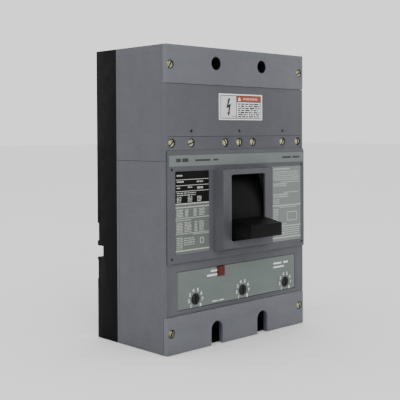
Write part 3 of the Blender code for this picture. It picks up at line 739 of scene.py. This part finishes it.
SCREW_METAL = metal("yellow_plating", (0.31, 0.3, 0.18), (0.16, 0.3), 1400, (0.045, 0.04, 0.02))
# Painted shade: this dark plating on the screw heads' slots and rims stands in for the shadow in the
# slots and in the counterbores round the heads
SCREW_SHADE = metal("shaded_plating", (0.035, 0.032, 0.02), (0.45, 0.6), 1400, (0.01, 0.009, 0.006))

# A screw in millimetres: its head's face, outside which the rim is painted in shade, and its slot, and
# its thread
SCREW_FACE_R = 3.5
SCREW_SLOT_HALF = 0.65
SCREW_SLOT_DEPTH = 1.45
HEAD_THICK = 1.9
SHANK_R = 1.9
THREAD_ROOT_R = 1.55
THREAD_PITCH = 0.75
THREAD_FLANK = 0.37
THREAD_TURNS = 12


def shaded_faces(mesh):
    """The faces of a screw head's slot and rim, which are painted in shade."""
    dull = []
    for face in mesh.polygons:
        x, y, z = face.center / MM
        in_slot = abs(z) < SCREW_SLOT_HALF + 0.01 and y > 0.15
        if in_slot or math.hypot(x, z) > SCREW_FACE_R:
            dull.append(face.index)
    return dull


def screw(node, turn):
    """A yellow-plated slotted head with a domed edge, on its threaded shank."""
    low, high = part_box(node)
    centre = (low + high) / 2
    profile = [(0, 12.6), (1.5, 12.6), (SHANK_R, 12.0)]
    for i in range(THREAD_TURNS):
        crest = 11.5 - THREAD_PITCH * i
        profile += [(SHANK_R, crest), (THREAD_ROOT_R, crest - THREAD_FLANK)]
    profile += [(SHANK_R, 2.6), (SHANK_R, HEAD_THICK), (3.5, HEAD_THICK), (3.66, 1.75), (3.66, 1.15)]
    profile += [(3.45, 0.75), (2.9, 0.4), (1.6, 0.12), (0, 0.05)]
    obj = mesh_object(node + "_head", turned_mesh(profile, 32))
    half = SCREW_SLOT_HALF * MM
    slot = ((-5 * MM, -MM, -half), (5 * MM, SCREW_SLOT_DEPTH * MM, half))
    cut_boxes(obj, [slot], 32)
    dull = shaded_faces(obj.data)
    obj.data.transform(Matrix.Rotation(math.radians(turn), 4, "Y"))
    obj.data.transform(Matrix.Translation((centre.x, low.y, centre.z)))
    finish(obj, SCREW_METAL, "housing", (node,))
    # Painted shade: the slot and rim faces take the dark plating
    obj.data.materials.append(SCREW_SHADE)
    for index in dull:
        obj.data.polygons[index].material_index = 1


# How far each screw's slot is turned from level, in degrees
SCREW_TURNS = {
    "terminal_cover_screw_1": -60,
    "terminal_cover_screw_2": -25,
    "terminal_cover_screw_3": -70,
    "terminal_cover_screw_4": -110,
    "cover_screw_1": -40,
    "cover_screw_2": -20,
    "cover_screw_3": -120,
    "cover_screw_4": -95,
    "cover_screw_5": -75,
    "cover_screw_6": -65,
    "cover_screw_7": -100,
}


# Handle


def handle():
    """The lever and its apron keep their solid, with rounded edges."""
    paint("handle", black_moulding("handle_black", (0.0024, 0.0024, 0.0022), (0.36, 0.5), 0.07))
    soften(NODES["handle"], 0.9 * MM, 3, 40)


# Inside


def spring_metal(name):
    """Grey spring steel."""
    return metal(name, (0.3, 0.3, 0.3), (0.25, 0.4), 1500, (0.12, 0.11, 0.1))


def inner_parts():
    """The parts inside keep their solids and get the material that their slot names."""
    drawn = (1, 1, 0.1)
    steel = metal("zinc_steel", (0.45, 0.45, 0.44), (0.28, 0.45), 900, (0.22, 0.21, 0.2), drawn)
    copper = metal("bare_copper", (0.62, 0.3, 0.17), (0.25, 0.42), 900, (0.3, 0.14, 0.08), drawn)
    aluminium = metal("tinned_lug", (0.62, 0.62, 0.61), (0.25, 0.4), 1100, (0.35, 0.35, 0.34), drawn)
    finishes = {
        "steel": steel,
        "copper": copper,
        "aluminium": aluminium,
        "spring_steel": spring_metal("spring_steel"),
        "phenolic": black_moulding("phenolic_brown", (0.03, 0.018, 0.014)),
        "fibre_and_steel": fibre("vulcanised_fibre"),
    }
    for part in frame["record"]["subparts"]:
        material = finishes.get(part["material_slot"])
        if material:
            paint(part["node"], material)
    for pole in "abc":
        for row in ("line", "load"):
            soften(NODES[f"{row}_lug_{pole}"], 0.6 * MM)
        soften(NODES[f"contact_arm_{pole}"], 0.3 * MM)


# The braids are cut across in steps of height, between a lower end on the strap and an upper end on the
# contact arm
BRAID_STEP = 2.5 * MM


def braids():
    """Copper braids, each cut across in steps of height between its strap and its contact arm."""
    copper, tarnish, woven = (0.55, 0.26, 0.15), (0.25, 0.11, 0.06), (1, 1, 0.4)
    braided = metal("braided_copper", copper, (0.35, 0.55), 650, tarnish, woven)
    for pole in "abc":
        node = f"flexible_braid_{pole}"
        low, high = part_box(node)
        bm = bmesh.new()
        bm.from_mesh(NODES[node].data)
        bmesh.ops.remove_doubles(bm, verts=bm.verts, dist=MERGE_DISTANCE)
        bmesh.ops.dissolve_limit(bm, angle_limit=math.radians(0.5), verts=bm.verts, edges=bm.edges)
        for i in range(1, int((high.z - low.z) / BRAID_STEP) + 1):
            shape = bm.verts[:] + bm.edges[:] + bm.faces[:]
            plane = (0, 0, low.z + i * BRAID_STEP)
            bmesh.ops.bisect_plane(bm, geom=shape, plane_co=plane, plane_no=(0, 0, 1))
        obj = finish(mesh_object(node + "_strip", bm), braided, None, (node,))
        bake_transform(obj)


SPRING_WIRE_R = 0.25 * MM
SPRING_TURNS = 6


def coil_mesh(radius, wire, turns, length):
    """A coil spring along Y from the origin, its wire's outside within the length."""
    curve = bpy.data.curves.new("coil", "CURVE")
    curve.dimensions = "3D"
    curve.bevel_depth = wire
    curve.bevel_resolution = 2
    curve.use_fill_caps = True
    steps = 16 * turns
    spline = curve.splines.new("POLY")
    spline.points.add(steps)
    for i, point in enumerate(spline.points):
        turn = 2 * math.pi * turns * i / steps
        along = wire + (length - 2 * wire) * i / steps
        point.co = (radius * math.cos(turn), along, radius * math.sin(turn), 1)
    mesh = curve_mesh(curve)
    mesh.shade_smooth()
    return mesh


def button_spring():
    """The coil behind the trip button, in place of its plain solid."""
    node = "trip_button_spring"
    low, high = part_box(node)
    centre = (low + high) / 2
    radius = (high.x - low.x) / 2 - SPRING_WIRE_R
    coil = coil_mesh(radius, SPRING_WIRE_R, SPRING_TURNS, high.y - low.y)
    obj = bpy.data.objects.new(node + "_coil", coil)
    bpy.context.scene.collection.objects.link(obj)
    obj.data.transform(Matrix.Translation((centre.x, low.y, centre.z)))
    finish(obj, spring_metal("spring_wire"), "housing", (node,))
    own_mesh(obj)


# Scene


CAMERA_PLACE = Vector((-0.578668, -0.653112, 0.059525))
CAMERA_YAW = math.radians(43.627)
CAMERA_PITCH = math.radians(-1.015)
CAMERA_ROLL = math.radians(-0.269)
CAMERA_LENS = 74.18
CAMERA_SHIFT_Y = -0.1299

# The floor lies a little below the load end and reaches far past the picture
FLOOR_HALF_SIZE = 12
FLOOR_GAP = 0.4 * MM


def camera():
    """The camera, turned by its yaw, pitch and roll."""
    forward = Vector(
        (
            math.sin(CAMERA_YAW) * math.cos(CAMERA_PITCH),
            math.cos(CAMERA_YAW) * math.cos(CAMERA_PITCH),
            math.sin(CAMERA_PITCH),
        )
    )
    right = Vector((math.cos(CAMERA_YAW), -math.sin(CAMERA_YAW), 0))
    up = right.cross(forward)
    level_right, level_up = right.copy(), up.copy()
    right = math.cos(CAMERA_ROLL) * level_right + math.sin(CAMERA_ROLL) * level_up
    up = -math.sin(CAMERA_ROLL) * level_right + math.cos(CAMERA_ROLL) * level_up
    data = bpy.data.cameras.new("camera")
    data.lens = CAMERA_LENS
    data.sensor_width = 36
    data.shift_y = CAMERA_SHIFT_Y
    obj = bpy.data.objects.new("camera", data)
    bpy.context.scene.collection.objects.link(obj)
    turn = Matrix((right, up, -forward)).transposed().to_4x4()
    obj.matrix_world = Matrix.Translation(CAMERA_PLACE) @ turn
    bpy.context.scene.camera = obj


def lamp(name, place, target, size, power):
    """A white rectangular lamp, its size in metres and its power in watts."""
    data = bpy.data.lights.new(name, "AREA")
    data.shape = "RECTANGLE"
    data.size, data.size_y = size
    data.energy = power
    obj = bpy.data.objects.new(name, data)
    bpy.context.scene.collection.objects.link(obj)
    obj.location = place
    obj.rotation_euler = (Vector(target) - Vector(place)).to_track_quat("-Z", "Y").to_euler()


def studio():
    """A pale floor under an even white sky, with one key lamp and two fills."""
    world = bpy.data.worlds.new("studio")
    world.use_nodes = True
    background = world.node_tree.nodes["Background"]
    background.inputs["Color"].default_value = (1, 1, 1, 1)
    background.inputs["Strength"].default_value = 1.4
    bpy.context.scene.world = world
    bm = bmesh.new()
    bmesh.ops.create_grid(bm, x_segments=1, y_segments=1, size=FLOOR_HALF_SIZE)
    bmesh.ops.translate(bm, vec=(0, 0, BOTTOM - FLOOR_GAP), verts=bm.verts)
    floor = mesh_object("floor", bm)
    pale = Shader("pale_floor", (0.86, 0.86, 0.86), 0.8)
    pale.shade(pale.noise(3, 2), 0.01)
    floor.data.materials.append(pale.material)
    lamp("key", (-0.9, -1.3, 1.1), (0, -0.05, 0.1), (0.8, 0.8), 11)
    lamp("side_fill", (-1.6, 0.1, 0.5), (0, 0, 0), (1.2, 1.2), 4)
    lamp("low_fill", (0.7, -1.5, -0.05), (0, -0.05, -0.05), (0.8, 0.4), 2)


housing()
rating_label()
instruction_label()
nameplate()
hazard_label()
trip_unit()
for screw_node, screw_turn in SCREW_TURNS.items():
    screw(screw_node, screw_turn)
handle()
inner_parts()
braids()
button_spring()
camera()
studio()
